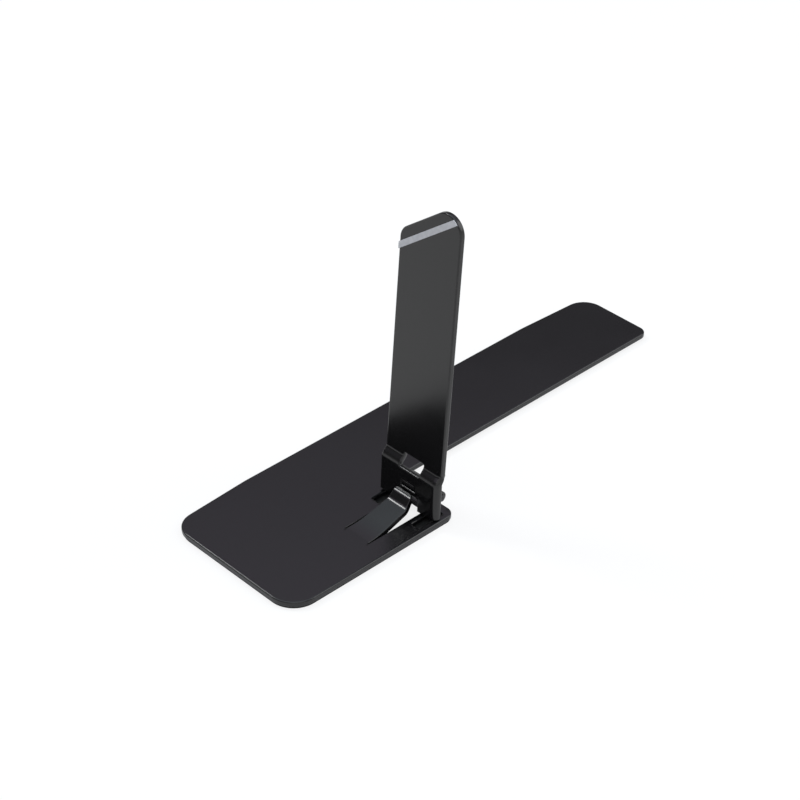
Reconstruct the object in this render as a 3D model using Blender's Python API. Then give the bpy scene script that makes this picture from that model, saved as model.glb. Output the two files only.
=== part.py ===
"""Folding phone stand of bent sheet metal.

A base with a long tongue carries an arm that stands up in a hinge and folds down beside the tongue.
A sprung latch, cut out of the base, rises in front of the arm's foot.

All sizes are in metres. Shapes are drawn from the base's near left corner, at the height of its top face:
x runs along the base, y across it and z up. Each object is then placed so that the stand is centred
over the origin and rests on z = 0.
"""
import math

import bmesh
import bpy
from mathutils import Matrix, Vector

# Sheet metal and fits
SHEET = 0.002
EDGE_ROUND = 0.0002
CLEARANCE = 0.0003
PIN_CLEARANCE = 0.0002
ARC_STEP = math.radians(10)
TURN_STEPS = 32
SHARP_ANGLE = math.radians(40)
MERGE_DISTANCE = 1e-6

# Base
BASE_LENGTH = 0.195
BASE_WIDTH = 0.060
WIDE_LENGTH = 0.0705
LEFT_CORNER = 0.0095
FAR_CORNER = 0.008
FAR_LEAD = 0.032
FAR_DROP = 0.0018
SMALL_CORNER = 0.0035
INNER_CORNER = 0.0015

# Arm
ARM_FRONT = 0.0615
ARM_INSET = 0.0005
ARM_WIDTH = 0.0255
ARM_TONGUE_GAP = 0.001
LEG_WIDTH = 0.0082
ARM_NEAR_LENGTH = 0.1153
ARM_FAR_LENGTH = 0.0962
TIP_NEAR_RADIUS = 0.0062
TIP_FAR_RADIUS = 0.0052
FOOT_RADIUS = 0.0008
JOGGLE_START = 0.013
JOGGLE_RADIUS = 0.0025
JOGGLE_ANGLE = math.radians(45)
JOGGLE_RUN = 0.0012
LEAF_LEAN = math.radians(3)
ARM_LEAN = math.radians(4.57)
FLANGE_DEPTH = 0.0030
FLANGE_BEND = 0.0012
FLANGE_FULL = 0.0138
FLANGE_FORMED = 0.0152
FLANGE_START = 0.0180
FLANGE_TRIM = 0.0001
FLANGE_CORNER = 0.001
FLANGE_STEPS = 6
WINDOW_LOW = 0.0132
WINDOW_HIGH = 0.0183
WINDOW_SIDE = 0.00825
WINDOW_CORNER = 0.0005

# Strip across the arm, below its tip
STRIP_BELOW_TIP = 0.0035
STRIP_WIDTH = 0.002
STRIP_THICKNESS = 0.0004
STRIP_ROUND = 0.0001

# Hinge
HINGE_HEIGHT = 0.0064
PIN_RADIUS = 0.0006
PIN_HEAD_RADIUS = 0.0012
PIN_HEAD_LENGTH = 0.0006
BUSH_WALL = 0.0011
STRAP_SIDE_GAP = 0.0002
STRAP_BEND = 0.00115
STRAP_SHOULDER = 0.0016
STRAP_TAB_RECESS = 0.0003
EAR_SHEET = 0.0013
EAR_WIDTH = 0.0026
EAR_INSET = 0.0023
EAR_BEND = 0.0015
EAR_ROOT = 0.0008
EAR_ROLL = math.radians(240)
SLOT_LENGTH = 0.0106

# Latch and its opening in the base
LATCH_ROOT = 0.0393
LATCH_NOTCH_GAP = 0.0004
LATCH_TAPER = 0.0021
LATCH_LIP_TAPER = 0.0007
LATCH_LIP_NEAR_CORNER = 0.0018
LATCH_LIP_FAR_CORNER = 0.0006
LATCH_SIDE_GAP = 0.0004
LATCH_BULGE = 0.0007
LATCH_BULGE_LENGTH = 0.0024
LATCH_ARM_GAP = 0.0006
LATCH_ROOT_RADIUS = 0.030
LATCH_RISER_RADIUS = 0.0022
LATCH_LIP_RADIUS = 0.0013
LATCH_SLOPE = math.radians(16.5)
LATCH_RISE = math.radians(48)
LATCH_LIP_SLOPE = math.radians(10)
LATCH_RISER = 0.0024
LATCH_LIP = 0.0008
OPENING_PAST_ARM = 0.0034
OPENING_ROOT_CORNER = 0.0004
OPENING_END_CORNER = 0.0025

# Pads
PAD_THICKNESS = 0.0004
PAD_INSET = 0.0004
PAD_OPENING_GAP = 0.0012
PAD_CORNER = 0.0015
TONGUE_PAD_LENGTH = 0.025
TONGUE_PAD_INSET = 0.005
PAD_ROUND = 0.0001

# Sizes that follow from the ones above
PLATE_TOP = PAD_THICKNESS + CLEARANCE + SHEET
TONGUE_EDGE = ARM_INSET + ARM_WIDTH + ARM_TONGUE_GAP
ARM_CENTRE = ARM_INSET + ARM_WIDTH / 2
ARM_FAR_EDGE = ARM_INSET + ARM_WIDTH
FLANGE_ROOT = ARM_WIDTH / 2 - SHEET / 2 - FLANGE_BEND
FLANGE_FLAT = FLANGE_ROOT + FLANGE_BEND * math.pi / 2 + FLANGE_DEPTH - SHEET / 2 - FLANGE_BEND
FLANGE_NECK = ARM_WIDTH / 2 - FLANGE_TRIM
BORE_RADIUS = PIN_RADIUS + PIN_CLEARANCE
STRAP_RADIUS = BORE_RADIUS + SHEET / 2
EAR_RADIUS = BORE_RADIUS + EAR_SHEET / 2
HINGE_X = ARM_FRONT + SHEET + CLEARANCE + BORE_RADIUS + SHEET
NOTCH_WIDTH = ARM_WIDTH - 2 * LEG_WIDTH
STRAP_WIDTH = NOTCH_WIDTH - 2 * STRAP_SIDE_GAP
STRAP_TAB_WIDTH = STRAP_WIDTH - 2 * STRAP_SHOULDER
WINDOW_WIDTH = ARM_WIDTH - 2 * WINDOW_SIDE
STRAP_START = HINGE_HEIGHT - STRAP_RADIUS + STRAP_BEND * (1 + math.sin(LEAF_LEAN))
STRAP_TOP = HINGE_HEIGHT + STRAP_RADIUS
EAR_UPRIGHT_X = HINGE_X - EAR_RADIUS
SLOT_END = EAR_UPRIGHT_X + EAR_BEND
LATCH_NECK_WIDTH = NOTCH_WIDTH - 2 * LATCH_NOTCH_GAP
LATCH_ROOT_WIDTH = LATCH_NECK_WIDTH + LATCH_TAPER
LATCH_LIP_WIDTH = LATCH_NECK_WIDTH - LATCH_LIP_TAPER
OPENING_WIDTH = LATCH_ROOT_WIDTH + 2 * LATCH_SIDE_GAP
OPENING_END = ARM_FRONT + OPENING_PAST_ARM
MIDDLE = -SHEET / 2


def remove_everything():
    for thing in list(bpy.data.objects):
        bpy.data.objects.remove(thing)


def coat(name, colour, roughness, metallic=0.0):
    material = bpy.data.materials.new(name)
    material.use_nodes = True
    shader = material.node_tree.nodes["Principled BSDF"]
    shader.inputs["Base Color"].default_value = (*colour, 1.0)
    shader.inputs["Roughness"].default_value = roughness
    shader.inputs["Metallic"].default_value = metallic
    material.diffuse_color = (*colour, 1.0)
    return material


def add_object(name, shape, material, origin=(0.0, 0.0, 0.0)):
    """Turn a bmesh into an object with its own origin, given in the drawing's coordinates."""
    shape.transform(Matrix.Translation(-Vector(origin)))
    bmesh.ops.recalc_face_normals(shape, faces=shape.faces)
    mesh = bpy.data.meshes.new(name)
    shape.to_mesh(mesh)
    shape.free()
    mesh.materials.append(material)
    thing = bpy.data.objects.new(name, mesh)
    thing.location = Vector(origin) + Vector((-BASE_LENGTH / 2, -BASE_WIDTH / 2, PLATE_TOP))
    bpy.context.scene.collection.objects.link(thing)
    return thing


def rounded(corners):
    """Points of a closed outline; each corner is (x, y, radius) and becomes an arc."""
    points = []
    for index, (x, y, radius) in enumerate(corners):
        corner = Vector((x, y))
        before = Vector(corners[index - 1][:2])
        after = Vector(corners[(index + 1) % len(corners)][:2])
        inward = (corner - before).normalized()
        outward = (after - corner).normalized()
        turn = math.atan2(inward.cross(outward), inward.dot(outward))
        start = corner - inward * radius * math.tan(abs(turn) / 2)
        side = math.copysign(1.0, turn)
        centre = start + Vector((-inward.y, inward.x)) * radius * side
        steps = math.ceil(abs(turn) / ARC_STEP) if radius else 0
        for step in range(steps + 1):
            share = step / steps if steps else 0
            points.append(tuple(centre + Matrix.Rotation(turn * share, 2) @ (start - centre)))
    return points


def rectangle(x_low, x_high, y_low, y_high, radius=0.0):
    corners = [(x_low, y_low), (x_high, y_low), (x_high, y_high), (x_low, y_high)]
    return rounded([(x, y, radius) for x, y in corners])


def flat_sheet(outline, holes, thickness, edge_round=EDGE_ROUND):
    """A flat plate round z = 0 with softened rims, made from a filled curve."""
    curve = bpy.data.curves.new("sheet", "CURVE")
    curve.dimensions = "2D"
    curve.fill_mode = "BOTH"
    curve.extrude = thickness / 2 - edge_round
    curve.bevel_depth = edge_round
    curve.bevel_resolution = 1
    curve.offset = -edge_round
    for loop in [outline, *holes]:
        spline = curve.splines.new("POLY")
        spline.points.add(len(loop) - 1)
        spline.use_cyclic_u = True
        for knot, (x, y) in zip(spline.points, loop):
            knot.co = (x, y, 0.0, 1.0)
    holder = bpy.data.objects.new("sheet", curve)
    mesh = bpy.data.meshes.new_from_object(holder)
    shape = bmesh.new()
    shape.from_mesh(mesh)
    bmesh.ops.remove_doubles(shape, verts=shape.verts, dist=MERGE_DISTANCE)
    bpy.data.objects.remove(holder)
    bpy.data.curves.remove(curve)
    bpy.data.meshes.remove(mesh)
    return shape


class BendLine:
    """Middle line of a bent sheet, seen from the side: straight runs and arcs, one after the other."""

    def __init__(self, x, z, heading):
        self.pieces = []
        self.length = 0.0
        self.x = x
        self.z = z
        self.heading = heading

    def run(self, length):
        self.add(length, 0.0)
        return self

    def turn(self, radius, angle):
        self.add(radius * abs(angle), angle)
        return self

    def add(self, length, angle):
        self.pieces.append((self.length, length, angle, self.x, self.z, self.heading))
        self.x, self.z, self.heading = self.step(length, length, angle, self.x, self.z, self.heading)
        self.length += length

    @staticmethod
    def step(distance, length, angle, x, z, heading):
        if angle == 0.0:
            return x + distance * math.cos(heading), z + distance * math.sin(heading), heading
        radius = length / angle
        turned = heading + distance / radius
        x += radius * (math.sin(turned) - math.sin(heading))
        z -= radius * (math.cos(turned) - math.cos(heading))
        return x, z, turned

    def point(self, distance, offset):
        """Place of a point that lies beside the line; offset is to the left of its heading."""
        piece = self.pieces[0]
        for candidate in self.pieces:
            if candidate[0] <= distance:
                piece = candidate
        x, z, heading = self.step(distance - piece[0], *piece[1:])
        return x - offset * math.sin(heading), z + offset * math.cos(heading)

    def stations(self):
        """Distances at which the sheet is cut so that it can follow the arcs."""
        places = []
        for start, length, angle, *_ in self.pieces:
            steps = math.ceil(abs(angle) / ARC_STEP)
            for step in range(steps + 1 if steps else 0):
                places.append(start + length * step / steps)
        return places


def cut(shape, place, normal, faces=None, **clear):
    """Cut a shape, or only some of its faces, along a plane."""
    if faces is None:
        faces = shape.faces[:]
    edges = {edge for face in faces for edge in face.edges}
    verts = {vert for face in faces for vert in face.verts}
    return bmesh.ops.bisect_plane(shape, geom=[*verts, *edges, *faces], dist=MERGE_DISTANCE,
                                  plane_co=place, plane_no=normal, **clear)


def bend(shape, stations, place):
    """Cut a flat sheet across at the stations, then move each point to its bent place."""
    for station in stations:
        cut(shape, (station, 0, 0), (1, 0, 0))
    bmesh.ops.triangulate(shape, faces=shape.faces)
    for vert in shape.verts:
        vert.co = place(*vert.co)


def turned(profile, closed):
    """Solid turned round the hinge's axis; the profile is a list of (y, radius)."""
    shape = bmesh.new()
    points = [shape.verts.new((HINGE_X + radius, y, HINGE_HEIGHT)) for y, radius in profile]
    edges = [shape.edges.new(pair) for pair in zip(points, points[1:])]
    if closed:
        edges.append(shape.edges.new((points[-1], points[0])))
    bmesh.ops.spin(shape, geom=points + edges, cent=(HINGE_X, 0, HINGE_HEIGHT), axis=(0, 1, 0),
                   angle=math.tau, steps=TURN_STEPS, use_merge=True)
    bmesh.ops.remove_doubles(shape, verts=shape.verts, dist=MERGE_DISTANCE)
    return shape


def ear_sides():
    """Low and high y of the near and the far ear."""
    near = ARM_INSET + EAR_INSET
    far = ARM_FAR_EDGE - EAR_INSET
    return {"near": (near, near + EAR_WIDTH), "far": (far - EAR_WIDTH, far)}


def base_outline():
    far_start = BASE_WIDTH - FAR_DROP
    return rounded([
        (0.0, 0.0, LEFT_CORNER),
        (WIDE_LENGTH, 0.0, SMALL_CORNER),
        (WIDE_LENGTH, TONGUE_EDGE, INNER_CORNER),
        (BASE_LENGTH, TONGUE_EDGE, SMALL_CORNER),
        (BASE_LENGTH, far_start, FAR_CORNER),
        (BASE_LENGTH - FAR_LEAD, BASE_WIDTH, FAR_LEAD),
        (FAR_LEAD, BASE_WIDTH, FAR_LEAD),
        (0.0, far_start, FAR_CORNER),
    ])


def ear_shape(y_low, y_high):
    """Strip that leaves the base forwards, stands up behind the arm and rolls back round the pin."""
    line = BendLine(SLOT_END + EAR_ROOT, MIDDLE, math.pi)
    line.run(EAR_ROOT).turn(EAR_BEND, -math.pi / 2)
    line.run(HINGE_HEIGHT - MIDDLE - EAR_BEND).turn(EAR_RADIUS, -EAR_ROLL)

    def place(along, across, depth):
        x, z = line.point(along, depth)
        return x, across, z

    strip = flat_sheet(rectangle(0.0, line.length, y_low, y_high), [], EAR_SHEET)
    bend(strip, line.stations(), place)
    return strip


def make_base_plate(material):
    low = ARM_CENTRE - OPENING_WIDTH / 2
    high = ARM_CENTRE + OPENING_WIDTH / 2
    holes = [rounded([
        (LATCH_ROOT, low, OPENING_ROOT_CORNER),
        (OPENING_END, low, OPENING_END_CORNER),
        (OPENING_END, high, OPENING_END_CORNER),
        (LATCH_ROOT, high, OPENING_ROOT_CORNER),
    ])]
    for y_low, y_high in ear_sides().values():
        holes.append(rectangle(SLOT_END - SLOT_LENGTH, SLOT_END, y_low - CLEARANCE, y_high + CLEARANCE))
    shape = flat_sheet(base_outline(), holes, SHEET)
    shape.transform(Matrix.Translation((0, 0, MIDDLE)))
    base = add_object("base_plate", shape, material)
    for side, (y_low, y_high) in ear_sides().items():
        ear = add_object("ear_tool_" + side, ear_shape(y_low, y_high), material)
        ear.hide_render = True
        ear.display_type = "WIRE"
        union = base.modifiers.new("ear_" + side, "BOOLEAN")
        union.operation = "UNION"
        union.solver = "EXACT"
        union.object = ear


def latch_line():
    """The latch's side view; its long slope ends so that the lip stops just in front of the arm."""
    def line_with(slope_length):
        line = BendLine(LATCH_ROOT + CLEARANCE, MIDDLE, 0.0)
        line.turn(LATCH_ROOT_RADIUS, LATCH_SLOPE).run(slope_length)
        line.turn(LATCH_RISER_RADIUS, LATCH_RISE - LATCH_SLOPE).run(LATCH_RISER)
        line.turn(LATCH_LIP_RADIUS, LATCH_LIP_SLOPE - LATCH_RISE).run(LATCH_LIP)
        return line

    missing = ARM_FRONT - LATCH_ARM_GAP - line_with(0.0).x
    return line_with(missing / math.cos(LATCH_SLOPE))


def make_latch(material):
    line = latch_line()
    first_bend = line.pieces[2][0]
    root = LATCH_ROOT_WIDTH / 2
    neck = LATCH_NECK_WIDTH / 2
    lip = LATCH_LIP_WIDTH / 2
    outline = rounded([
        (0.0, ARM_CENTRE - root, 0.0),
        (first_bend, ARM_CENTRE - neck - LATCH_BULGE, 0.0),
        (first_bend + LATCH_BULGE_LENGTH, ARM_CENTRE - neck, 0.0),
        (line.length, ARM_CENTRE - lip, LATCH_LIP_NEAR_CORNER),
        (line.length, ARM_CENTRE + lip, LATCH_LIP_FAR_CORNER),
        (first_bend, ARM_CENTRE + neck, 0.0),
        (0.0, ARM_CENTRE + root, 0.0),
    ])

    def place(along, across, depth):
        x, z = line.point(along, depth)
        return x, across, z

    shape = flat_sheet(outline, [], SHEET)
    bend(shape, line.stations(), place)
    add_object("latch_spring", shape, material, origin=(LATCH_ROOT, ARM_CENTRE, MIDDLE))


def leaf_middle(height):
    """Where the middle of the leaning leaf is at a height; its front is at ARM_FRONT beside the pin."""
    return ARM_FRONT + SHEET / 2 + (height - HINGE_HEIGHT) * math.tan(LEAF_LEAN)


def arm_line():
    """The arm from its feet up: a leaf, a joggle towards the tongue, and the leaning plate."""
    line = BendLine(leaf_middle(CLEARANCE), CLEARANCE, math.pi / 2 - LEAF_LEAN)
    line.run(JOGGLE_START - CLEARANCE).turn(JOGGLE_RADIUS, LEAF_LEAN - JOGGLE_ANGLE)
    line.run(JOGGLE_RUN).turn(JOGGLE_RADIUS, JOGGLE_ANGLE - ARM_LEAN)
    return line.run(ARM_NEAR_LENGTH - line.length)


def strap_line():
    """The strap in the middle of the foot: it bends back under the pin, rolls over it and comes forwards."""
    line = BendLine(leaf_middle(STRAP_START), STRAP_START, -math.pi / 2 - LEAF_LEAN)
    line.turn(STRAP_BEND, math.pi / 2 + LEAF_LEAN).run(HINGE_X - line.x)
    line.turn(STRAP_RADIUS, math.pi)
    return line.run(HINGE_X - ARM_FRONT - STRAP_TAB_RECESS)


def arm_outline():
    """The flat arm with its strap and the near edge of its foot; x is the distance from the feet."""
    strap_root = STRAP_START - CLEARANCE
    strap_end = strap_root - strap_line().length
    tab_start = strap_end + SHEET + CLEARANCE - STRAP_TAB_RECESS
    notch = NOTCH_WIDTH / 2
    strap = STRAP_WIDTH / 2
    tab = STRAP_TAB_WIDTH / 2
    strap_side = [
        (strap_end, -tab, 0.0),
        (tab_start, -tab, 0.0),
        (tab_start, -strap, 0.0),
        (strap_root, -strap, 0.0),
        (strap_root, -notch, 0.0),
        (0.0, -notch, FOOT_RADIUS),
    ]
    near_edge = [
        (0.0, -FLANGE_FLAT, FOOT_RADIUS),
        (FLANGE_FULL, -FLANGE_FLAT, FLANGE_CORNER),
        (FLANGE_FORMED, -FLANGE_NECK, FLANGE_CORNER),
        (FLANGE_START, -ARM_WIDTH / 2, 0.0),
    ]
    tip_and_far_edge = [
        (ARM_NEAR_LENGTH, -ARM_WIDTH / 2, TIP_NEAR_RADIUS),
        (ARM_FAR_LENGTH, ARM_WIDTH / 2, TIP_FAR_RADIUS),
        (0.0, ARM_WIDTH / 2, FOOT_RADIUS),
    ]
    other_side = [(x, -y, radius) for x, y, radius in reversed(strap_side)]
    corners = strap_side + near_edge + tip_and_far_edge + other_side
    return rounded([(x, ARM_CENTRE + y, radius) for x, y, radius in corners])


def turn_back(along, across, depth):
    """Where a point of the flat arm goes when the near edge of the foot is turned back."""
    beyond = ARM_CENTRE - across - FLANGE_ROOT
    if beyond <= 0.0 or along >= FLANGE_START:
        return across, depth
    formed = min(1.0, (FLANGE_START - along) / (FLANGE_START - FLANGE_FORMED))
    angle = min(beyond / FLANGE_BEND, formed * math.pi / 2)
    straight = beyond - FLANGE_BEND * angle
    reach = FLANGE_ROOT + (FLANGE_BEND + depth) * math.sin(angle) + straight * math.cos(angle)
    depth = (FLANGE_BEND + depth) * math.cos(angle) - FLANGE_BEND - straight * math.sin(angle)
    return ARM_CENTRE - reach, depth


def place_on_arm(line, strap):
    """Return the function that takes a point of the flat arm to its bent place."""
    strap_root = STRAP_START - CLEARANCE
    strap_reach = (NOTCH_WIDTH - STRAP_SIDE_GAP) / 2

    def place(along, across, depth):
        if along < strap_root and abs(across - ARM_CENTRE) < strap_reach:
            x, z = strap.point(strap_root - along, -depth)
        else:
            across, depth = turn_back(along, across, depth)
            x, z = line.point(along, depth)
        return x, across, z

    return place


def cut_flange(shape):
    """Cut the foot's near edge along and across, so that it can be turned back."""
    for step in range(FLANGE_STEPS + 1):
        share = step / FLANGE_STEPS
        cut(shape, (FLANGE_FORMED + share * (FLANGE_START - FLANGE_FORMED), 0, 0), (1, 0, 0))
    foot = [face for face in shape.faces if face.calc_center_median().x < FLANGE_START]
    steps = math.ceil(math.pi / 2 / ARC_STEP)
    for step in range(steps + 1):
        reach = FLANGE_ROOT + FLANGE_BEND * math.pi / 2 * step / steps
        pieces = cut(shape, (0, ARM_CENTRE - reach, 0), (0, 1, 0), foot)["geom"]
        foot = [item for item in pieces if isinstance(item, bmesh.types.BMFace)]


def make_arm(material):
    line = arm_line()
    strap = strap_line()
    strap_root = STRAP_START - CLEARANCE
    slit_half_height = SHEET / 2 + CLEARANCE
    slit_half_width = STRAP_TAB_WIDTH / 2 + CLEARANCE
    slit_middle = STRAP_TOP - CLEARANCE
    slit = rectangle(slit_middle - slit_half_height, slit_middle + slit_half_height,
                     ARM_CENTRE - slit_half_width, ARM_CENTRE + slit_half_width)
    window = rectangle(WINDOW_LOW, WINDOW_HIGH,
                       ARM_CENTRE - WINDOW_WIDTH / 2, ARM_CENTRE + WINDOW_WIDTH / 2, WINDOW_CORNER)
    shape = flat_sheet(arm_outline(), [slit, window], SHEET)
    cut_flange(shape)
    cuts = line.stations() + [strap_root - station for station in strap.stations()]
    bend(shape, cuts, place_on_arm(line, strap))
    add_object("arm", shape, material, origin=(HINGE_X, ARM_CENTRE, HINGE_HEIGHT))


def make_tip_strip(material):
    """A thin strip on the arm's front, parallel to the slanted tip and as wide as the arm."""
    along_tip = Vector((ARM_FAR_LENGTH - ARM_NEAR_LENGTH, ARM_WIDTH)).normalized()
    into_arm = Vector((-along_tip.y, along_tip.x))
    corner = Vector((ARM_NEAR_LENGTH, ARM_INSET))
    shape = flat_sheet(arm_outline(), [], STRIP_THICKNESS, STRIP_ROUND)
    line = arm_line()
    middle_depth = SHEET / 2 + CLEARANCE + STRIP_THICKNESS / 2
    for distance, side in ((STRIP_BELOW_TIP, -1), (STRIP_BELOW_TIP + STRIP_WIDTH, 1)):
        edge = corner + into_arm * distance
        trimmed = cut(shape, (*edge, 0), (*(into_arm * side), 0), clear_outer=True)
        rim = [item for item in trimmed["geom_cut"] if isinstance(item, bmesh.types.BMEdge)]
        bmesh.ops.contextual_create(shape, geom=rim)
    bmesh.ops.triangulate(shape, faces=shape.faces)
    for vert in shape.verts:
        x, z = line.point(vert.co.x, vert.co.z + middle_depth)
        vert.co = (x, vert.co.y, z)
    add_object("tip_strip", shape, material, origin=(HINGE_X, ARM_CENTRE, HINGE_HEIGHT))


def make_hinge_pin(material):
    sides = ear_sides()
    shank_low = sides["near"][0] - CLEARANCE
    shank_high = sides["far"][1] + CLEARANCE
    profile = [
        (shank_low - PIN_HEAD_LENGTH, 0.0),
        (shank_low - PIN_HEAD_LENGTH, PIN_HEAD_RADIUS),
        (shank_low, PIN_HEAD_RADIUS),
        (shank_low, PIN_RADIUS),
        (shank_high, PIN_RADIUS),
        (shank_high, PIN_HEAD_RADIUS),
        (shank_high + PIN_HEAD_LENGTH, PIN_HEAD_RADIUS),
        (shank_high + PIN_HEAD_LENGTH, 0.0),
    ]
    pin = add_object("hinge_pin", turned(profile, closed=False), material)
    pin.data.shade_smooth()
    pin.data.set_sharp_from_angle(angle=SHARP_ANGLE)


def make_bushes(material):
    sides = ear_sides()
    strap_low = ARM_CENTRE - STRAP_WIDTH / 2
    strap_high = ARM_CENTRE + STRAP_WIDTH / 2
    spans = {
        "friction_bush_near": (sides["near"][1] + CLEARANCE, strap_low - CLEARANCE),
        "friction_bush_far": (strap_high + CLEARANCE, sides["far"][0] - CLEARANCE),
    }
    outer = BORE_RADIUS + BUSH_WALL
    for name, (low, high) in spans.items():
        profile = [(low, BORE_RADIUS), (low, outer), (high, outer), (high, BORE_RADIUS)]
        bush = add_object(name, turned(profile, closed=True), material)
        bush.data.shade_smooth()
        bush.data.set_sharp_from_angle(angle=SHARP_ANGLE)


def make_base_pad(material):
    """Pad under the wide end, open under the latch."""
    half_width = OPENING_WIDTH / 2 + PAD_OPENING_GAP
    opening = rectangle(LATCH_ROOT - PAD_OPENING_GAP, OPENING_END + PAD_OPENING_GAP,
                        ARM_CENTRE - half_width, ARM_CENTRE + half_width, PAD_CORNER)
    right = WIDE_LENGTH - PAD_INSET
    far = BASE_WIDTH - FAR_DROP - PAD_INSET
    outline = rounded([
        (PAD_INSET, PAD_INSET, LEFT_CORNER - PAD_INSET),
        (right, PAD_INSET, SMALL_CORNER - PAD_INSET),
        (right, far, PAD_CORNER),
        (PAD_INSET, far, FAR_CORNER - PAD_INSET),
    ])
    add_pad("base_pad", outline, [opening], material)


def make_tongue_pad(material):
    right = BASE_LENGTH - TONGUE_PAD_INSET
    outline = rectangle(right - TONGUE_PAD_LENGTH, right, TONGUE_EDGE + TONGUE_PAD_INSET,
                        BASE_WIDTH - TONGUE_PAD_INSET, SMALL_CORNER)
    add_pad("tongue_pad", outline, [], material)


def add_pad(name, outline, holes, material):
    shape = flat_sheet(outline, holes, PAD_THICKNESS, PAD_ROUND)
    shape.transform(Matrix.Translation((0, 0, PAD_THICKNESS / 2 - PLATE_TOP)))
    add_object(name, shape, material)


def main():
    remove_everything()
    black = coat("black_coat", (0.030, 0.030, 0.033), 0.38)
    steel = coat("pin_steel", (0.42, 0.42, 0.43), 0.35, 1.0)
    nylon = coat("dark_nylon", (0.05, 0.05, 0.05), 0.5)
    rubber = coat("pad_rubber", (0.018, 0.018, 0.018), 0.8)
    strip = coat("grey_strip", (0.38, 0.38, 0.39), 0.45)
    make_base_plate(black)
    make_latch(black)
    make_arm(black)
    make_tip_strip(strip)
    make_hinge_pin(steel)
    make_bushes(nylon)
    make_base_pad(rubber)
    make_tongue_pad(rubber)


main()
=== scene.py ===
"""Looks of the folding phone stand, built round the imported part.

The sheet-metal pieces are drawn again from the part's own sizes, with finer bends and rounder rims, and
stand for the part's solids. All sizes are in metres. Shapes are drawn from the base's near left corner, at
the height of its top face, and are then moved into the part's frame.
"""
import math

import bmesh
import bpy
from mathutils import Matrix, Vector

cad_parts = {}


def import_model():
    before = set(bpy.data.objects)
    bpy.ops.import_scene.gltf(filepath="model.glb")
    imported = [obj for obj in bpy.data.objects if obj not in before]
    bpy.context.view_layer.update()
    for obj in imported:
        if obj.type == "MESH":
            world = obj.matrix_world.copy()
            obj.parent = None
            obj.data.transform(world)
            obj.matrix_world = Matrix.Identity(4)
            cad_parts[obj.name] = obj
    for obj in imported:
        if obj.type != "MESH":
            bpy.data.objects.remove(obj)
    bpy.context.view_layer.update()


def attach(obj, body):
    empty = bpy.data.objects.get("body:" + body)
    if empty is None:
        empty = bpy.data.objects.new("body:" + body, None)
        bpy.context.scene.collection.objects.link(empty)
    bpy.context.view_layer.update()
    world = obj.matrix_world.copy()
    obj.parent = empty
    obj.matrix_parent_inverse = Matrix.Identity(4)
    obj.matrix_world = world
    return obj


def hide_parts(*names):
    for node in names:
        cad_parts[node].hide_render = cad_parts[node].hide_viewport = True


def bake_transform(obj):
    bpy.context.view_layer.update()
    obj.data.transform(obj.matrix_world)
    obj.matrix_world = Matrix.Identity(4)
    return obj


# Sheet metal and fineness of the meshes
SHEET = 0.002
EDGE_ROUND = 0.0005
HOLE_ROUND = 0.00025
SLOT_ROUND = 0.0007
CLEARANCE = 0.0003
ARC_STEP = math.radians(4)
RIM_STEPS = 4
TURN_STEPS = 64
SHARP_ANGLE = math.radians(40)
FACE_WEIGHT = 100
MERGE_DISTANCE = 1e-6

# Base
BASE_LENGTH = 0.195
BASE_WIDTH = 0.060
WIDE_LENGTH = 0.0705
LEFT_CORNER = 0.0095
FAR_CORNER = 0.008
FAR_LEAD = 0.032
FAR_DROP = 0.0018
SMALL_CORNER = 0.0035
INNER_CORNER = 0.0015
PANEL_MARGIN = 0.0015
SLOT_MARGIN = 0.0009
TONGUE_EDGE = 0.027

# Arm
ARM_FRONT = 0.0615
ARM_INSET = 0.0005
ARM_WIDTH = 0.0255
ARM_CENTRE = ARM_INSET + ARM_WIDTH / 2
ARM_FAR_EDGE = ARM_INSET + ARM_WIDTH
ARM_NEAR_LENGTH = 0.1153
ARM_FAR_LENGTH = 0.0962
TIP_NEAR_RADIUS = 0.0062
TIP_FAR_RADIUS = 0.0052
FOOT_RADIUS = 0.0008
NOTCH_CORNER = 0.0003
JOGGLE_START = 0.013
JOGGLE_RADIUS = 0.0025
JOGGLE_ANGLE = math.radians(45)
JOGGLE_RUN = 0.0012
LEAF_LEAN = math.radians(3)
ARM_LEAN = math.radians(4.57)
FLANGE_DEPTH = 0.0030
FLANGE_BEND = 0.0012
FLANGE_FULL = 0.0138
FLANGE_FORMED = 0.0152
FLANGE_START = 0.0180
FLANGE_TRIM = 0.0001
FLANGE_CORNER = 0.001
FLANGE_STEPS = 12
FLANGE_ROOT = ARM_WIDTH / 2 - SHEET / 2 - FLANGE_BEND
FLANGE_FLAT = FLANGE_ROOT + FLANGE_BEND * math.pi / 2 + FLANGE_DEPTH - SHEET / 2 - FLANGE_BEND
FLANGE_NECK = ARM_WIDTH / 2 - FLANGE_TRIM
WINDOW_LOW = 0.0132
WINDOW_HIGH = 0.0183
WINDOW_WIDTH = 0.009
WINDOW_CORNER = 0.0005

# Strip across the arm, below its tip
STRIP_BELOW_TIP = 0.0035
STRIP_WIDTH = 0.002
STRIP_THICKNESS = 0.0004
STRIP_ROUND = 0.00012

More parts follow.
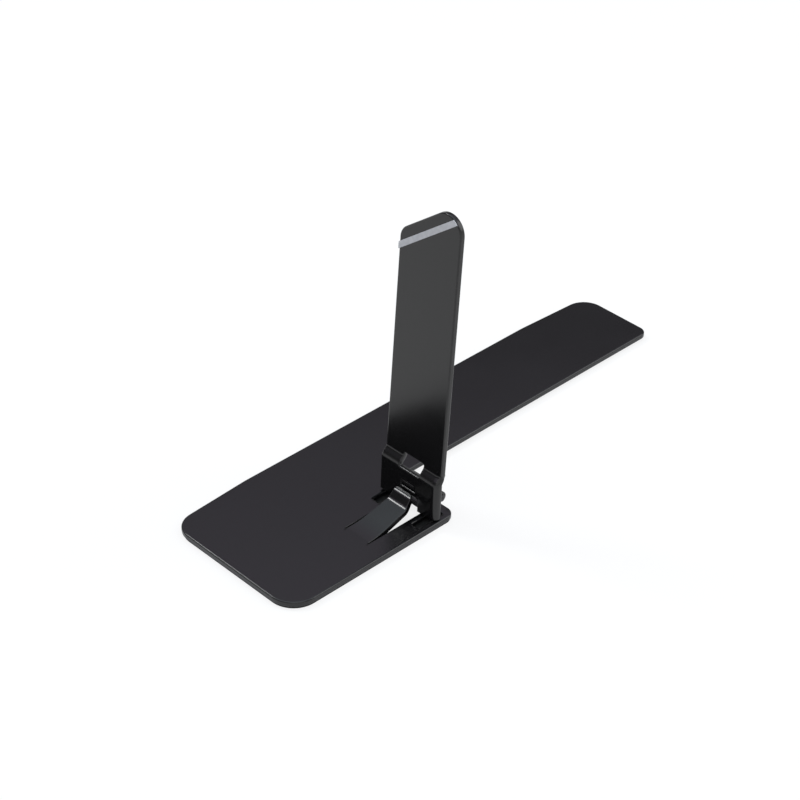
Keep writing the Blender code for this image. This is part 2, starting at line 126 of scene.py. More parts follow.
# Hinge
HINGE_HEIGHT = 0.0064
PIN_RADIUS = 0.0006
PIN_HEAD_RADIUS = 0.0012
PIN_HEAD_LENGTH = 0.0006
PIN_DOME_STEP = 15
BORE_RADIUS = 0.0008
BUSH_WALL = 0.0011
BUSH_CHAMFER = 0.0002
NOTCH_WIDTH = 0.0091
STRAP_RADIUS = BORE_RADIUS + SHEET / 2
STRAP_SIDE_GAP = 0.0002
STRAP_WIDTH = NOTCH_WIDTH - 2 * STRAP_SIDE_GAP
STRAP_SHOULDER = 0.0016
STRAP_TAB_WIDTH = STRAP_WIDTH - 2 * STRAP_SHOULDER
STRAP_TAB_RECESS = 0.0003
STRAP_BEND = 0.00115
STRAP_START = HINGE_HEIGHT - STRAP_RADIUS + STRAP_BEND * (1 + math.sin(LEAF_LEAN))
STRAP_TOP = HINGE_HEIGHT + STRAP_RADIUS
HINGE_X = ARM_FRONT + SHEET + CLEARANCE + BORE_RADIUS + SHEET
EAR_SHEET = 0.0013
EAR_WIDTH = 0.0026
EAR_INSET = 0.0023
EAR_BEND = 0.0015
EAR_ROOT = 0.0008
EAR_ROLL = math.radians(240)
EAR_RADIUS = BORE_RADIUS + EAR_SHEET / 2
SLOT_LENGTH = 0.0106
SLOT_CORNER = 0.0004
SLOT_END = HINGE_X - EAR_RADIUS + EAR_BEND

# Latch and its opening in the base; its first bend is softer than in the solids
LATCH_ROOT = 0.0393
LATCH_FLAT = 0.0005
LATCH_STUB = 0.0004
LATCH_STUB_SPARE = 0.0016
LATCH_ROOT_WIDTH = 0.0104
LATCH_NECK_WIDTH = 0.0083
LATCH_LIP_WIDTH = 0.0076
LATCH_LIP_NEAR_CORNER = 0.0018
LATCH_LIP_FAR_CORNER = 0.0006
LATCH_SIDE_GAP = 0.0004
LATCH_BULGE = 0.0007
LATCH_BULGE_LENGTH = 0.0024
LATCH_ARM_GAP = 0.0006
LATCH_ROOT_RADIUS = 0.030
LATCH_RISER_RADIUS = 0.0040
LATCH_LIP_RADIUS = 0.0013
LATCH_SLOPE = math.radians(16.5)
LATCH_RISE = math.radians(48)
LATCH_LIP_SLOPE = math.radians(10)
LATCH_RISER = 0.0019
LATCH_LIP = 0.0008
OPENING_WIDTH = LATCH_ROOT_WIDTH + 2 * LATCH_SIDE_GAP
OPENING_PAST_ARM = 0.0034
OPENING_END = ARM_FRONT + OPENING_PAST_ARM
OPENING_END_CORNER = 0.0025
SLIT_END_RADIUS = 0.00019
MIDDLE = -SHEET / 2

# Pads, which fill the room under the sheet
PAD_THICKNESS = 0.0007
PAD_INSET = 0.0004
PAD_OPENING_GAP = 0.0012
PAD_CORNER = 0.0015
TONGUE_PAD_LENGTH = 0.025
TONGUE_PAD_INSET = 0.005
PAD_ROUND = 0.00015
PLATE_TOP = PAD_THICKNESS + SHEET

# Camera and floor
CAMERA_TARGET = (0.0029, 0.0277, PLATE_TOP)
CAMERA_AZIMUTH = math.radians(-43.50)
CAMERA_ELEVATION = math.radians(35.54)
CAMERA_DISTANCE = 0.771
CAMERA_LENS = 100.3
CAMERA_CLIP = 0.01
FLOOR_SIZE = 8.0
FLOOR_HEIGHT = -0.00005
FLOOR_WHITE = 0.9
FLOOR_ROUGHNESS = 0.9
FLOOR_GLOW = 0.8
# Painted shadow in the floor's glow as mirrors see it: how far its occlusion reaches and the power that
# deepens it
PAINTED_SHADOW_REACH = 0.030
PAINTED_SHADOW_DEPTH = 2.5

# Surroundings: what a mirror shows at each height of the view, from the horizon at 0 to straight up at 1
SKY = [
    (0.00, (0.95, 0.95, 0.95)),
    (0.07, (0.95, 0.95, 0.95)),
    (0.18, (0.22, 0.22, 0.22)),
    (0.565, (0.10, 0.10, 0.10)),
    (0.61, (0.71, 0.65, 0.77)),
    (0.72, (0.73, 0.67, 0.79)),
    (0.82, (0.75, 0.87, 0.94)),
]

TO_FRAME = Matrix.Translation((-BASE_LENGTH / 2, -BASE_WIDTH / 2, PLATE_TOP))


def rounded(corners):
    """Points of a closed outline; each corner is (x, y, radius) and becomes an arc."""
    points = []
    for index, (x, y, radius) in enumerate(corners):
        corner = Vector((x, y))
        before = Vector(corners[index - 1][:2])
        after = Vector(corners[(index + 1) % len(corners)][:2])
        inward = (corner - before).normalized()
        outward = (after - corner).normalized()
        turn = math.atan2(inward.cross(outward), inward.dot(outward))
        start = corner - inward * radius * math.tan(abs(turn) / 2)
        side = math.copysign(1.0, turn)
        centre = start + Vector((-inward.y, inward.x)) * radius * side
        steps = math.ceil(abs(turn) / ARC_STEP) if radius else 0
        for step in range(steps + 1):
            share = step / steps if steps else 0
            points.append(tuple(centre + Matrix.Rotation(turn * share, 2) @ (start - centre)))
    return points


def rectangle(x_low, x_high, y_low, y_high, radius=0.0):
    corners = [(x_low, y_low), (x_high, y_low), (x_high, y_high), (x_low, y_high)]
    return rounded([(x, y, radius) for x, y in corners])


def flat_sheet(outline, holes, thickness, edge_round=EDGE_ROUND):
    """A flat plate round z = 0 with rounded rims, whose points know how far round the rim they lie."""
    curve = bpy.data.curves.new("sheet", "CURVE")
    curve.dimensions = "2D"
    curve.fill_mode = "BOTH"
    curve.extrude = thickness / 2 - edge_round
    curve.bevel_depth = edge_round
    curve.bevel_resolution = RIM_STEPS
    curve.offset = -edge_round
    for loop in [outline, *holes]:
        spline = curve.splines.new("POLY")
        spline.points.add(len(loop) - 1)
        spline.use_cyclic_u = True
        for knot, (x, y) in zip(spline.points, loop):
            knot.co = (x, y, 0.0, 1.0)
    holder = bpy.data.objects.new("sheet", curve)
    mesh = bpy.data.meshes.new_from_object(holder)
    shape = bmesh.new()
    shape.from_mesh(mesh)
    bmesh.ops.remove_doubles(shape, verts=shape.verts, dist=MERGE_DISTANCE)
    bpy.data.objects.remove(holder)
    bpy.data.curves.remove(curve)
    bpy.data.meshes.remove(mesh)
    rim = shape.verts.layers.float.new("rim")
    for vert in shape.verts:
        share = (abs(vert.co.z) - thickness / 2 + edge_round) / edge_round
        vert[rim] = max(0.0, 4.0 * share * (1.0 - share))
    return shape


class BendLine:
    """Middle line of a bent sheet, seen from the side: straight runs and arcs, one after the other."""

    def __init__(self, x, z, heading):
        self.pieces = []
        self.length = 0.0
        self.x = x
        self.z = z
        self.heading = heading

    def run(self, length):
        self.add(length, 0.0)
        return self

    def turn(self, radius, angle):
        self.add(radius * abs(angle), angle)
        return self

    def add(self, length, angle):
        self.pieces.append((self.length, length, angle, self.x, self.z, self.heading))
        self.x, self.z, self.heading = self.step(length, length, angle, self.x, self.z, self.heading)
        self.length += length

    @staticmethod
    def step(distance, length, angle, x, z, heading):
        if angle == 0.0:
            return x + distance * math.cos(heading), z + distance * math.sin(heading), heading
        radius = length / angle
        turned_to = heading + distance / radius
        x += radius * (math.sin(turned_to) - math.sin(heading))
        z -= radius * (math.cos(turned_to) - math.cos(heading))
        return x, z, turned_to

    def point(self, distance, offset):
        """Place of a point that lies beside the line; offset is to the left of its heading."""
        piece = self.pieces[0]
        for candidate in self.pieces:
            if candidate[0] <= distance:
                piece = candidate
        x, z, heading = self.step(distance - piece[0], *piece[1:])
        return x - offset * math.sin(heading), z + offset * math.cos(heading)

    def stations(self):
        """Distances at which the sheet is cut so that it can follow the arcs."""
        places = []
        for start, length, angle, *_ in self.pieces:
            steps = math.ceil(abs(angle) / ARC_STEP)
            for step in range(steps + 1 if steps else 0):
                places.append(start + length * step / steps)
        return places


def cut_across(shape, place, normal, faces=None, **clear):
    """Cut a shape, or only some of its faces, along a plane."""
    if faces is None:
        faces = shape.faces[:]
    edges = {edge for face in faces for edge in face.edges}
    verts = {vert for face in faces for vert in face.verts}
    return bmesh.ops.bisect_plane(shape, geom=[*verts, *edges, *faces], dist=MERGE_DISTANCE,
                                  plane_co=place, plane_no=normal, **clear)


def bend(shape, stations, place):
    """Cut a flat sheet across at the stations, then move each point to its bent place."""
    for station in stations:
        cut_across(shape, (station, 0, 0), (1, 0, 0))
    bmesh.ops.triangulate(shape, faces=shape.faces)
    for vert in shape.verts:
        vert.co = place(*vert.co)


def along_line(line):
    """The function that takes a point of a flat strip to its place on the line."""
    def place(along, across, depth):
        x, z = line.point(along, depth)
        return x, across, z

    return place


def close_cut(shape, cut):
    rim = [item for item in cut["geom_cut"] if isinstance(item, bmesh.types.BMEdge)]
    bmesh.ops.contextual_create(shape, geom=rim)


def turned(profile, closed):
    """Solid turned round the hinge's axis; the profile is a list of (y, radius)."""
    shape = bmesh.new()
    points = [shape.verts.new((HINGE_X + radius, y, HINGE_HEIGHT)) for y, radius in profile]
    edges = [shape.edges.new(pair) for pair in zip(points, points[1:])]
    if closed:
        edges.append(shape.edges.new((points[-1], points[0])))
    bmesh.ops.spin(shape, geom=points + edges, cent=(HINGE_X, 0, HINGE_HEIGHT), axis=(0, 1, 0),
                   angle=math.tau, steps=TURN_STEPS, use_merge=True)
    bmesh.ops.remove_doubles(shape, verts=shape.verts, dist=MERGE_DISTANCE)
    return shape


def add_piece(name, shape, material, nodes):
    """Turn a bmesh into a smooth-shaded object that stands for the named nodes of the part."""
    shape.transform(TO_FRAME)
    bmesh.ops.recalc_face_normals(shape, faces=shape.faces)
    mesh = bpy.data.meshes.new(name)
    shape.to_mesh(mesh)
    shape.free()
    mesh.shade_smooth()
    mesh.set_sharp_from_angle(angle=SHARP_ANGLE)
    mesh.materials.append(material)
    piece = bpy.data.objects.new(name, mesh)
    bpy.context.scene.collection.objects.link(piece)
    weighted = piece.modifiers.new("flat_faces_lead", "WEIGHTED_NORMAL")
    weighted.weight = FACE_WEIGHT
    weighted.keep_sharp = True
    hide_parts(*nodes)
    return piece


def ear_sides():
    """Low and high y of the near and the far ear."""
    near = ARM_INSET + EAR_INSET
    far = ARM_FAR_EDGE - EAR_INSET
    return {"near": (near, near + EAR_WIDTH), "far": (far - EAR_WIDTH, far)}


def base_outline():
    far_start = BASE_WIDTH - FAR_DROP
    return rounded([
        (0.0, 0.0, LEFT_CORNER),
        (WIDE_LENGTH, 0.0, SMALL_CORNER),
        (WIDE_LENGTH, TONGUE_EDGE, INNER_CORNER),
        (BASE_LENGTH, TONGUE_EDGE, SMALL_CORNER),
        (BASE_LENGTH, far_start, FAR_CORNER),
        (BASE_LENGTH - FAR_LEAD, BASE_WIDTH, FAR_LEAD),
        (FAR_LEAD, BASE_WIDTH, FAR_LEAD),
        (0.0, far_start, FAR_CORNER),
    ])


def latch_half_width(along):
    """Half the latch's width between its root and its first bend."""
    share = along / latch_line().pieces[3][0]
    return (LATCH_ROOT_WIDTH + share * (LATCH_NECK_WIDTH - LATCH_ROOT_WIDTH)) / 2


def keep_panel(shape, panel, inside):
    """Cut a flat sheet along a rectangle, and keep what is inside it or what is outside."""
    x_low, x_high, y_low, y_high = panel
    for x in (x_low, x_high):
        cut_across(shape, (x, 0, 0), (1, 0, 0))
    for y in (y_low, y_high):
        cut_across(shape, (0, y, 0), (0, 1, 0))
    unwanted = []
    for face in shape.faces:
        middle = face.calc_center_median()
        within = x_low < middle.x < x_high and y_low < middle.y < y_high
        if within != inside:
            unwanted.append(face)
    bmesh.ops.delete(shape, geom=unwanted, context="FACES")


def join(shape, other):
    """Add the faces of another shape, which is then gone."""
    mesh = bpy.data.meshes.new("joined")
    other.to_mesh(mesh)
    other.free()
    shape.from_mesh(mesh)
    bpy.data.meshes.remove(mesh)


def make_base(material):
    """The base with a slot round the latch's root, from which the latch goes on without a seam.

    The panel with the latch's opening has finer rims than the base's outer edge, and the ears' slots have
    rounder ones.
    """
    low = ARM_CENTRE - OPENING_WIDTH / 2
    high = ARM_CENTRE + OPENING_WIDTH / 2
    stub = LATCH_STUB_SPARE
    root_half = latch_half_width(0.0)
    stub_half = latch_half_width(stub)
    opening = rounded([
        (LATCH_ROOT, low, SLIT_END_RADIUS),
        (OPENING_END, low, OPENING_END_CORNER),
        (OPENING_END, high, OPENING_END_CORNER),
        (LATCH_ROOT, high, SLIT_END_RADIUS),
        (LATCH_ROOT, ARM_CENTRE + root_half, SLIT_END_RADIUS),
        (LATCH_ROOT + stub, ARM_CENTRE + stub_half, 0.0),
        (LATCH_ROOT + stub, ARM_CENTRE - stub_half, 0.0),
        (LATCH_ROOT, ARM_CENTRE - root_half, SLIT_END_RADIUS),
    ])
    panel = (LATCH_ROOT - PANEL_MARGIN, SLOT_END + PANEL_MARGIN, PANEL_MARGIN, TONGUE_EDGE - PANEL_MARGIN)
    whole = rectangle(0.0, WIDE_LENGTH, 0.0, TONGUE_EDGE)
    shape = flat_sheet(whole, [opening], SHEET, HOLE_ROUND)
    keep_panel(shape, panel, inside=True)
    for y_low, y_high in ear_sides().values():
        sides = (SLOT_END - SLOT_LENGTH, SLOT_END, y_low - CLEARANCE, y_high + CLEARANCE)
        around = tuple(place + SLOT_MARGIN * sign for place, sign in zip(sides, (-1, 1, -1, 1)))
        slotted = flat_sheet(whole, [rectangle(*sides, SLOT_CORNER)], SHEET, SLOT_ROUND)
        keep_panel(slotted, around, inside=True)
        keep_panel(shape, around, inside=False)
        join(shape, slotted)
    cut_x = LATCH_ROOT + LATCH_STUB
    cut_across(shape, (cut_x, 0, 0), (1, 0, 0))
    beyond = []
    for face in shape.faces:
        middle = face.calc_center_median()
        if cut_x < middle.x < LATCH_ROOT + stub and abs(middle.y - ARM_CENTRE) < root_half:
            beyond.append(face)
    bmesh.ops.delete(shape, geom=beyond, context="FACES")
    stub_end = []
    for edge in shape.edges:
        if edge.is_boundary and all(abs(vert.co.x - cut_x) < MERGE_DISTANCE for vert in edge.verts):
            stub_end.append(edge)
    bmesh.ops.contextual_create(shape, geom=stub_end)
    rest = flat_sheet(base_outline(), [], SHEET)
    keep_panel(rest, panel, inside=False)
    join(shape, rest)
    shape.transform(Matrix.Translation((0, 0, MIDDLE)))
    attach(add_piece("base_sheet", shape, material, ["base_plate"]), "base")


def make_ears(material):
    """Two strips that leave the base forwards, stand up behind the arm and roll back round the pin."""
    line = BendLine(SLOT_END + EAR_ROOT, MIDDLE, math.pi)
    line.run(EAR_ROOT).turn(EAR_BEND, -math.pi / 2)
    line.run(HINGE_HEIGHT - MIDDLE - EAR_BEND).turn(EAR_RADIUS, -EAR_ROLL)
    for side, (y_low, y_high) in ear_sides().items():
        strip = flat_sheet(rectangle(0.0, line.length, y_low, y_high), [], EAR_SHEET, HOLE_ROUND)
        bend(strip, line.stations(), along_line(line))
        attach(add_piece("hinge_ear_" + side, strip, material, ["base_plate"]), "base")


def latch_line():
    """The latch's side view; its long slope ends so that the lip stops just in front of the arm."""
    def line_with(slope_length):
        line = BendLine(LATCH_ROOT, MIDDLE, 0.0)
        line.run(LATCH_FLAT).turn(LATCH_ROOT_RADIUS, LATCH_SLOPE).run(slope_length)
        line.turn(LATCH_RISER_RADIUS, LATCH_RISE - LATCH_SLOPE).run(LATCH_RISER)
        line.turn(LATCH_LIP_RADIUS, LATCH_LIP_SLOPE - LATCH_RISE).run(LATCH_LIP)
        return line

    missing = ARM_FRONT - LATCH_ARM_GAP - line_with(0.0).x
    return line_with(missing / math.cos(LATCH_SLOPE))


def make_latch(material):
    """The sprung tongue; its first millimetres stay with the base and the rest is drawn as a piece of its
    own.
    """
    line = latch_line()
    first_bend = line.pieces[3][0]
    before_root = -LATCH_FLAT
    outer = latch_half_width(before_root)
    neck = LATCH_NECK_WIDTH / 2
    lip = LATCH_LIP_WIDTH / 2
    outline = rounded([
        (before_root, ARM_CENTRE - outer, 0.0),
        (first_bend, ARM_CENTRE - neck - LATCH_BULGE, 0.0),
        (first_bend + LATCH_BULGE_LENGTH, ARM_CENTRE - neck, 0.0),
        (line.length, ARM_CENTRE - lip, LATCH_LIP_NEAR_CORNER),
        (line.length, ARM_CENTRE + lip, LATCH_LIP_FAR_CORNER),
        (first_bend, ARM_CENTRE + neck, 0.0),
        (before_root, ARM_CENTRE + outer, 0.0),
    ])
    shape = flat_sheet(outline, [], SHEET, HOLE_ROUND)
    close_cut(shape, cut_across(shape, (LATCH_STUB, 0, 0), (-1, 0, 0), clear_outer=True))
    bend(shape, line.stations(), along_line(line))
    latch = add_piece("latch_tongue", shape, material, ["latch_spring"])
    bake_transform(latch)


def leaf_middle(height):
    """Where the middle of the leaning leaf is at a height; its front is at ARM_FRONT beside the pin."""
    return ARM_FRONT + SHEET / 2 + (height - HINGE_HEIGHT) * math.tan(LEAF_LEAN)


def arm_line():
    """The arm from its feet up: a leaf, a joggle towards the tongue, and the leaning plate."""
    line = BendLine(leaf_middle(CLEARANCE), CLEARANCE, math.pi / 2 - LEAF_LEAN)
    line.run(JOGGLE_START - CLEARANCE).turn(JOGGLE_RADIUS, LEAF_LEAN - JOGGLE_ANGLE)
    line.run(JOGGLE_RUN).turn(JOGGLE_RADIUS, JOGGLE_ANGLE - ARM_LEAN)
    return line.run(ARM_NEAR_LENGTH - line.length)


def strap_line():
    """The strap in the middle of the foot: it bends back under the pin, rolls over it and comes forwards."""
    line = BendLine(leaf_middle(STRAP_START), STRAP_START, -math.pi / 2 - LEAF_LEAN)
    line.turn(STRAP_BEND, math.pi / 2 + LEAF_LEAN).run(HINGE_X - line.x)
    line.turn(STRAP_RADIUS, math.pi)
    return line.run(HINGE_X - ARM_FRONT - STRAP_TAB_RECESS)


def arm_outline():
    """The flat arm with its strap and the near edge of its foot; x is the distance from the feet."""
    strap_root = STRAP_START - CLEARANCE
    strap_end = strap_root - strap_line().length
    tab_start = strap_end + SHEET + CLEARANCE - STRAP_TAB_RECESS
    notch = NOTCH_WIDTH / 2
    strap = STRAP_WIDTH / 2
    tab = STRAP_TAB_WIDTH / 2
    strap_side = [
        (strap_end, -tab, 0.0),
        (tab_start, -tab, 0.0),
        (tab_start, -strap, 0.0),
        (strap_root, -strap, 0.0),
        (strap_root, -notch, 0.0),
        (0.0, -notch, NOTCH_CORNER),
    ]
    near_edge = [
        (0.0, -FLANGE_FLAT, FOOT_RADIUS),
        (FLANGE_FULL, -FLANGE_FLAT, FLANGE_CORNER),
        (FLANGE_FORMED, -FLANGE_NECK, FLANGE_CORNER),
        (FLANGE_START, -ARM_WIDTH / 2, 0.0),
    ]
    tip_and_far_edge = [
        (ARM_NEAR_LENGTH, -ARM_WIDTH / 2, TIP_NEAR_RADIUS),
        (ARM_FAR_LENGTH, ARM_WIDTH / 2, TIP_FAR_RADIUS),
        (0.0, ARM_WIDTH / 2, FOOT_RADIUS),
    ]
    other_side = [(x, -y, radius) for x, y, radius in reversed(strap_side)]
    corners = strap_side + near_edge + tip_and_far_edge + other_side
    return rounded([(x, ARM_CENTRE + y, radius) for x, y, radius in corners])


def turn_back(along, across, depth):
    """Where a point of the flat arm goes when the near edge of the foot is turned back."""
    beyond = ARM_CENTRE - across - FLANGE_ROOT
    if beyond <= 0.0 or along >= FLANGE_START:
        return across, depth
    formed = min(1.0, (FLANGE_START - along) / (FLANGE_START - FLANGE_FORMED))
    formed = formed * formed * (3 - 2 * formed)
    angle = min(beyond / FLANGE_BEND, formed * math.pi / 2)
    straight = beyond - FLANGE_BEND * angle
    reach = FLANGE_ROOT + (FLANGE_BEND + depth) * math.sin(angle) + straight * math.cos(angle)
    depth = (FLANGE_BEND + depth) * math.cos(angle) - FLANGE_BEND - straight * math.sin(angle)
    return ARM_CENTRE - reach, depth


def place_on_arm(line, strap):
    """Return the function that takes a point of the flat arm to its bent place."""
    strap_root = STRAP_START - CLEARANCE
    strap_reach = (NOTCH_WIDTH - STRAP_SIDE_GAP) / 2

    def place(along, across, depth):
        if along < strap_root and abs(across - ARM_CENTRE) < strap_reach:
            x, z = strap.point(strap_root - along, -depth)
        else:
            across, depth = turn_back(along, across, depth)
            x, z = line.point(along, depth)
        return x, across, z

    return place


def cut_flange(shape):
    """Cut the foot's near edge along and across, so that it can be turned back."""
    for step in range(FLANGE_STEPS + 1):
        share = step / FLANGE_STEPS
        cut_across(shape, (FLANGE_FORMED + share * (FLANGE_START - FLANGE_FORMED), 0, 0), (1, 0, 0))
    foot = [face for face in shape.faces if face.calc_center_median().x < FLANGE_START]
    steps = math.ceil(math.pi / 2 / ARC_STEP)
    for step in range(steps + 1):
        reach = FLANGE_ROOT + FLANGE_BEND * math.pi / 2 * step / steps
        pieces = cut_across(shape, (0, ARM_CENTRE - reach, 0), (0, 1, 0), foot)["geom"]
        foot = [item for item in pieces if isinstance(item, bmesh.types.BMFace)]


def make_arm(material):
    line = arm_line()
    strap = strap_line()
    strap_root = STRAP_START - CLEARANCE
    slit_half_height = SHEET / 2 + CLEARANCE
    slit_half_width = STRAP_TAB_WIDTH / 2 + CLEARANCE
    slit_middle = STRAP_TOP - CLEARANCE
    slit = rectangle(slit_middle - slit_half_height, slit_middle + slit_half_height,
                     ARM_CENTRE - slit_half_width, ARM_CENTRE + slit_half_width)
    window = rectangle(WINDOW_LOW, WINDOW_HIGH,
                       ARM_CENTRE - WINDOW_WIDTH / 2, ARM_CENTRE + WINDOW_WIDTH / 2, WINDOW_CORNER)
    shape = flat_sheet(arm_outline(), [slit, window], SHEET)
    cut_flange(shape)
    cuts = line.stations() + [strap_root - station for station in strap.stations()]
    bend(shape, cuts, place_on_arm(line, strap))
    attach(add_piece("arm_sheet", shape, material, ["arm"]), "arm")


def make_strip(material):
    """A thin strip on the arm's front, parallel to the slanted tip and as wide as the arm."""
    along_tip = Vector((ARM_FAR_LENGTH - ARM_NEAR_LENGTH, ARM_WIDTH)).normalized()
    into_arm = Vector((-along_tip.y, along_tip.x))
    corner = Vector((ARM_NEAR_LENGTH, ARM_INSET))
    shape = flat_sheet(arm_outline(), [], STRIP_THICKNESS, STRIP_ROUND)
    for distance, side in ((STRIP_BELOW_TIP, -1), (STRIP_BELOW_TIP + STRIP_WIDTH, 1)):
        edge = corner + into_arm * distance
        cut = cut_across(shape, (*edge, 0), (*(into_arm * side), 0), clear_outer=True)
        close_cut(shape, cut)
    bmesh.ops.triangulate(shape, faces=shape.faces)
    line = arm_line()
    for vert in shape.verts:
        x, z = line.point(vert.co.x, vert.co.z + (SHEET + STRIP_THICKNESS) / 2)
        vert.co = (x, vert.co.y, z)
    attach(add_piece("grip_strip", shape, material, ["tip_strip"]), "arm")


def make_pin(material):
    """The hinge pin with a domed head at each end."""
    sides = ear_sides()
    low = sides["near"][0] - CLEARANCE
    high = sides["far"][1] + CLEARANCE
    dome = [math.radians(angle) for angle in range(0, 91, PIN_DOME_STEP)]
    near_head = [(low - PIN_HEAD_LENGTH * math.cos(a), PIN_HEAD_RADIUS * math.sin(a)) for a in dome]
    far_head = [
        (high + PIN_HEAD_LENGTH * math.cos(a), PIN_HEAD_RADIUS * math.sin(a)) for a in reversed(dome)
    ]
    profile = near_head + [(low, PIN_RADIUS), (high, PIN_RADIUS)] + far_head
    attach(add_piece("pin", turned(profile, closed=False), material, ["hinge_pin"]), "base")


def make_bushes(material):
    sides = ear_sides()
    strap_low = ARM_CENTRE - STRAP_WIDTH / 2
    strap_high = ARM_CENTRE + STRAP_WIDTH / 2
    spans = {
        "near": (sides["near"][1] + CLEARANCE, strap_low - CLEARANCE),
        "far": (strap_high + CLEARANCE, sides["far"][0] - CLEARANCE),
    }
    outer = BORE_RADIUS + BUSH_WALL
    for side, (low, high) in spans.items():
        profile = [
            (low, BORE_RADIUS),
            (low, outer - BUSH_CHAMFER),
            (low + BUSH_CHAMFER, outer),
            (high - BUSH_CHAMFER, outer),
            (high, outer - BUSH_CHAMFER),
            (high, BORE_RADIUS),
        ]
        bush = add_piece("bush_" + side, turned(profile, closed=True), material,
                         ["friction_bush_" + side])
        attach(bush, "base")


def make_pads(material):
    half_width = OPENING_WIDTH / 2 + PAD_OPENING_GAP
    opening = rectangle(LATCH_ROOT - PAD_OPENING_GAP, OPENING_END + PAD_OPENING_GAP,
                        ARM_CENTRE - half_width, ARM_CENTRE + half_width, PAD_CORNER)
    right = WIDE_LENGTH - PAD_INSET
    far = BASE_WIDTH - FAR_DROP - PAD_INSET
    outline = rounded([
        (PAD_INSET, PAD_INSET, LEFT_CORNER - PAD_INSET),
        (right, PAD_INSET, SMALL_CORNER - PAD_INSET),
        (right, far, PAD_CORNER),
        (PAD_INSET, far, FAR_CORNER - PAD_INSET),
    ])
    tongue_right = BASE_LENGTH - TONGUE_PAD_INSET
    tongue = rectangle(tongue_right - TONGUE_PAD_LENGTH, tongue_right, TONGUE_EDGE + TONGUE_PAD_INSET,
                       BASE_WIDTH - TONGUE_PAD_INSET, SMALL_CORNER)
    pads = {"base_pad": (outline, [opening]), "tongue_pad": (tongue, [])}
    for node, (edge, holes) in pads.items():
        shape = flat_sheet(edge, holes, PAD_THICKNESS, PAD_ROUND)
        shape.transform(Matrix.Translation((0, 0, PAD_THICKNESS / 2 - PLATE_TOP)))
        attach(add_piece(node + "_sheet", shape, material, [node]), "base")


class Surface:
    """A material with a Principled shader, and the texture nodes that feed it."""

    def __init__(self, name):
        self.material = bpy.data.materials.new(name)
        self.material.use_nodes = True
        self.tree = self.material.node_tree
        self.shader = self.tree.nodes["Principled BSDF"]
        self.place = self.tree.nodes.new("ShaderNodeTexCoord").outputs["Object"]

    def stretched(self, scale):
        node = self.tree.nodes.new("ShaderNodeMapping")
        node.inputs["Scale"].default_value = scale
        self.tree.links.new(self.place, node.inputs["Vector"])
        return node.outputs["Vector"]

    def noise(self, scale, detail=2.0, place=None):
        node = self.tree.nodes.new("ShaderNodeTexNoise")
        node.inputs["Scale"].default_value = scale
        node.inputs["Detail"].default_value = detail
        self.tree.links.new(place or self.place, node.inputs["Vector"])
        return node.outputs["Fac"]

    def cells(self, scale):
        node = self.tree.nodes.new("ShaderNodeTexVoronoi")
        node.inputs["Scale"].default_value = scale
        self.tree.links.new(self.place, node.inputs["Vector"])
        return node.outputs["Distance"]

    def rim(self):
        node = self.tree.nodes.new("ShaderNodeAttribute")
        node.attribute_name = "rim"
        return node.outputs["Fac"]

    def ranged(self, value, source, target):
        node = self.tree.nodes.new("ShaderNodeMapRange")
        node.inputs["From Min"].default_value, node.inputs["From Max"].default_value = source
        node.inputs["To Min"].default_value, node.inputs["To Max"].default_value = target
        self.tree.links.new(value, node.inputs["Value"])
        return node.outputs["Result"]

    def times(self, first, second):
        node = self.tree.nodes.new("ShaderNodeMath")
        node.operation = "MULTIPLY"
        self.tree.links.new(first, node.inputs[0])
        self.tree.links.new(second, node.inputs[1])
        return node.outputs["Value"]

    def plus(self, first, second):
        node = self.tree.nodes.new("ShaderNodeMath")
        node.operation = "ADD"
        self.tree.links.new(first, node.inputs[0])
        self.tree.links.new(second, node.inputs[1])
        return node.outputs["Value"]

    def colour(self, factor, first, second):
        """Blend of two colours; each is a colour or the output of an earlier blend."""
        node = self.tree.nodes.new("ShaderNodeMix")
        node.data_type = "RGBA"
        self.tree.links.new(factor, node.inputs["Factor"])
        for socket, value in (("A_Color", first), ("B_Color", second)):
            target = next(item for item in node.inputs if item.identifier == socket)
            if isinstance(value, tuple):
                target.default_value = (*value, 1.0)
            else:
                self.tree.links.new(value, target)
        return next(item for item in node.outputs if item.identifier == "Result_Color")

    def bump(self, height, distance, normal=None):
        node = self.tree.nodes.new("ShaderNodeBump")
        node.inputs["Distance"].default_value = distance
        self.tree.links.new(height, node.inputs["Height"])
        if normal:
            self.tree.links.new(normal, node.inputs["Normal"])
        return node.outputs["Normal"]

    def feed(self, **values):
        """Set or link the shader's inputs; underscores stand for spaces."""
        for name, value in values.items():
            socket = self.shader.inputs[name.replace("_", " ")]
            if isinstance(value, bpy.types.NodeSocket):
                self.tree.links.new(value, socket)
            else:
                socket.default_value = value
        return self.material


def black_paint():
    """Satin black coat: fine grain, a faint orange peel, handling marks, and thinner paint on the rims."""
    surface = Surface("satin_black_paint")
    grain = surface.noise(5200.0, 3.0)
    peel = surface.noise(420.0, 1.0)
    handling = surface.noise(34.0, 5.0)
    patches = surface.noise(900.0, 2.0)
    worn = surface.times(surface.rim(), surface.ranged(patches, (0.45, 0.7), (0.15, 0.9)))
    tone = surface.colour(handling, (0.0031, 0.0031, 0.0034), (0.0045, 0.0045, 0.0048))
    colour = surface.colour(worn, tone, (0.016, 0.016, 0.017))
    broad = surface.ranged(handling, (0.3, 0.7), (0.19, 0.23))
    fine = surface.ranged(grain, (0.3, 0.7), (-0.02, 0.02))
    normal = surface.bump(peel, 0.000004, surface.bump(grain, 0.0000015))
    return surface.feed(Base_Color=colour, Roughness=surface.plus(broad, fine), Normal=normal,
                        Specular_IOR_Level=0.45)


